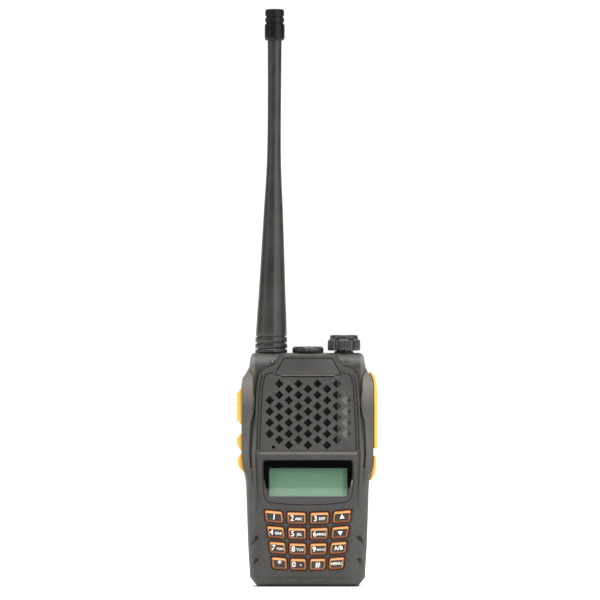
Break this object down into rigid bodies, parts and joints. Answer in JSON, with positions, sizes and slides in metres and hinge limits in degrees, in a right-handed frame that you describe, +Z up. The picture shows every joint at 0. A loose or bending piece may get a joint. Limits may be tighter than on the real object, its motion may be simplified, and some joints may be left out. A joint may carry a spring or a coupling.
{
  "type": "two way radio",
  "caption": "Hand-held two way radio with a long tapered antenna, keypad, display, side buttons, volume control, torch, slide-off battery and sprung belt clip.",
  "frame": {"origin": "centre line of the case on its flat underside, in line with the parting plane between case and battery", "axes": "+Z up towards the antenna, -Y towards the person who reads the display, +X to the right seen from the front"},
  "size_m": [0.066, 0.0395, 0.2723],
  "materials": {
    "case_plastic": "fine moulded texture, warm dark grey",
    "badge_plastic": "satin dark grey",
    "speaker_cloth": "black dust cloth",
    "black_plastic": "moulded black",
    "antenna_rubber": "soft satin black",
    "knob_rubber": "soft matt black",
    "side_rubber": "soft satin yellow",
    "key_plastic": "satin orange edge with a printed dark face",
    "keypad_silicone": "matt dark red",
    "window_plastic": "polished, black printed border round a clear middle",
    "display_glass": "grey green liquid crystal panel",
    "circuit_board": "green solder mask",
    "cast_aluminium": "as cast",
    "plated_steel": "nickel plated",
    "brass": "gold plated",
    "chrome_plastic": "metallised",
    "clear_plastic": "clear",
    "battery_plastic": "fine moulded texture, black",
    "cell_wrap": "shrink wrap"
  },
  "bodies": {
    "case": {"front_case": "case_plastic", "name_plate": "badge_plastic", "display_window": "window_plastic", "display_panel": "display_glass", "display_backlight": "chrome_plastic", "keypad_mat": "keypad_silicone", "grille_cloth": "speaker_cloth", "speaker_frame": "plated_steel", "speaker_cone": "black_plastic", "speaker_magnet": "plated_steel", "microphone": "plated_steel", "main_board": "circuit_board", "shield_can": "plated_steel", "rear_chassis": "cast_aluminium", "battery_contact_block": "black_plastic", "side_switch_board": "circuit_board", "cover_anchor": "side_rubber", "jack_block": "black_plastic", "volume_control": "plated_steel", "torch_bezel": "black_plastic", "torch_lens": "clear_plastic", "torch_reflector": "chrome_plastic", "torch_led": "clear_plastic", "antenna_socket": "brass", "status_lamp": "clear_plastic", "clip_bracket": "black_plastic", "clip_pin": "plated_steel", "clip_screw_left": "plated_steel", "clip_screw_right": "plated_steel", "clip_spring": "plated_steel"},
    "volume_knob": {"volume_knob": "knob_rubber", "volume_shaft": "plated_steel"},
    "antenna": {"antenna_core": "brass", "antenna_sleeve": "antenna_rubber", "antenna_cap": "antenna_rubber"},
    "ptt_button": {"ptt_button": "side_rubber"},
    "call_button": {"call_button": "side_rubber"},
    "monitor_button": {"monitor_button": "side_rubber"},
    "jack_cover": {"jack_cover": "side_rubber"},
    "battery": {"battery_case": "battery_plastic", "battery_cover": "battery_plastic", "battery_cell": "cell_wrap"},
    "battery_latch": {"battery_latch": "black_plastic"},
    "clip_lever": {"clip_lever": "black_plastic"},
    "key_1": {"key_1": "key_plastic"},
    "key_2": {"key_2": "key_plastic"},
    "key_3": {"key_3": "key_plastic"},
    "key_up": {"key_up": "key_plastic"},
    "key_4": {"key_4": "key_plastic"},
    "key_5": {"key_5": "key_plastic"},
    "key_6": {"key_6": "key_plastic"},
    "key_down": {"key_down": "key_plastic"},
    "key_7": {"key_7": "key_plastic"},
    "key_8": {"key_8": "key_plastic"},
    "key_9": {"key_9": "key_plastic"},
    "key_mode": {"key_mode": "key_plastic"},
    "key_star": {"key_star": "key_plastic"},
    "key_0": {"key_0": "key_plastic"},
    "key_hash": {"key_hash": "key_plastic"},
    "key_menu": {"key_menu": "key_plastic"}
  },
  "joints": [
    {"name": "volume_turn", "type": "hinge", "parent": "case", "child": "volume_knob", "pos_m": [0.0174, 0.0025, 0.11], "axis": [0, 0, 1], "range_deg": [-270, 0]},
    {"name": "antenna_turn", "type": "hinge", "parent": "case", "child": "antenna", "pos_m": [-0.0169, 0.0025, 0.11], "axis": [0, 0, 1], "range_deg": [0, 1800]},
    {"name": "ptt_press", "type": "slide", "parent": "case", "child": "ptt_button", "axis": [1, 0, 0], "range_m": [0, 0.001], "stiffness_N_per_m": 600, "springref_m": -0.001},
    {"name": "call_press", "type": "slide", "parent": "case", "child": "call_button", "axis": [1, 0, 0], "range_m": [0, 0.0008], "stiffness_N_per_m": 600, "springref_m": -0.001},
    {"name": "monitor_press", "type": "slide", "parent": "case", "child": "monitor_button", "axis": [1, 0, 0], "range_m": [0, 0.0008], "stiffness_N_per_m": 600, "springref_m": -0.001},
    {"name": "key_1_press", "type": "slide", "parent": "case", "child": "key_1", "axis": [0, 1, 0], "range_m": [0, 0.0007], "stiffness_N_per_m": 500, "springref_m": -0.0008},
    {"name": "key_2_press", "type": "slide", "parent": "case", "child": "key_2", "axis": [0, 1, 0], "range_m": [0, 0.0007], "stiffness_N_per_m": 500, "springref_m": -0.0008},
    {"name": "key_3_press", "type": "slide", "parent": "case", "child": "key_3", "axis": [0, 1, 0], "range_m": [0, 0.0007], "stiffness_N_per_m": 500, "springref_m": -0.0008},
    {"name": "key_up_press", "type": "slide", "parent": "case", "child": "key_up", "axis": [0, 1, 0], "range_m": [0, 0.0007], "stiffness_N_per_m": 500, "springref_m": -0.0008},
    {"name": "key_4_press", "type": "slide", "parent": "case", "child": "key_4", "axis": [0, 1, 0], "range_m": [0, 0.0007], "stiffness_N_per_m": 500, "springref_m": -0.0008},
    {"name": "key_5_press", "type": "slide", "parent": "case", "child": "key_5", "axis": [0, 1, 0], "range_m": [0, 0.0007], "stiffness_N_per_m": 500, "springref_m": -0.0008},
    {"name": "key_6_press", "type": "slide", "parent": "case", "child": "key_6", "axis": [0, 1, 0], "range_m": [0, 0.0007], "stiffness_N_per_m": 500, "springref_m": -0.0008},
    {"name": "key_down_press", "type": "slide", "parent": "case", "child": "key_down", "axis": [0, 1, 0], "range_m": [0, 0.0007], "stiffness_N_per_m": 500, "springref_m": -0.0008},
    {"name": "key_7_press", "type": "slide", "parent": "case", "child": "key_7", "axis": [0, 1, 0], "range_m": [0, 0.0007], "stiffness_N_per_m": 500, "springref_m": -0.0008},
    {"name": "key_8_press", "type": "slide", "parent": "case", "child": "key_8", "axis": [0, 1, 0], "range_m": [0, 0.0007], "stiffness_N_per_m": 500, "springref_m": -0.0008},
    {"name": "key_9_press", "type": "slide", "parent": "case", "child": "key_9", "axis": [0, 1, 0], "range_m": [0, 0.0007], "stiffness_N_per_m": 500, "springref_m": -0.0008},
    {"name": "key_mode_press", "type": "slide", "parent": "case", "child": "key_mode", "axis": [0, 1, 0], "range_m": [0, 0.0007], "stiffness_N_per_m": 500, "springref_m": -0.0008},
    {"name": "key_star_press", "type": "slide", "parent": "case", "child": "key_star", "axis": [0, 1, 0], "range_m": [0, 0.0007], "stiffness_N_per_m": 500, "springref_m": -0.0008},
    {"name": "key_0_press", "type": "slide", "parent": "case", "child": "key_0", "axis": [0, 1, 0], "range_m": [0, 0.0007], "stiffness_N_per_m": 500, "springref_m": -0.0008},
    {"name": "key_hash_press", "type": "slide", "parent": "case", "child": "key_hash", "axis": [0, 1, 0], "range_m": [0, 0.0007], "stiffness_N_per_m": 500, "springref_m": -0.0008},
    {"name": "key_menu_press", "type": "slide", "parent": "case", "child": "key_menu", "axis": [0, 1, 0], "range_m": [0, 0.0007], "stiffness_N_per_m": 500, "springref_m": -0.0008},
    {"name": "jack_cover_swing", "type": "hinge", "parent": "case", "child": "jack_cover", "pos_m": [0.03135, -0.004, 0.0652], "axis": [0, 1, 0], "range_deg": [0, 90], "stiffness_Nm_per_rad": 0.002, "springref_deg": -11.46},
    {"name": "battery_slide", "type": "slide", "parent": "case", "child": "battery", "axis": [0, 0, -1], "range_m": [0, 0.03]},
    {"name": "latch_slide", "type": "slide", "parent": "case", "child": "battery_latch", "axis": [0, 0, 1], "range_m": [0, 0.0018], "stiffness_N_per_m": 500, "springref_m": -0.001},
    {"name": "clip_open", "type": "hinge", "parent": "case", "child": "clip_lever", "pos_m": [0, 0.0182, 0.0995], "axis": [1, 0, 0], "range_deg": [0, 14], "stiffness_Nm_per_rad": 0.2, "springref_deg": -17.19}
  ]
}
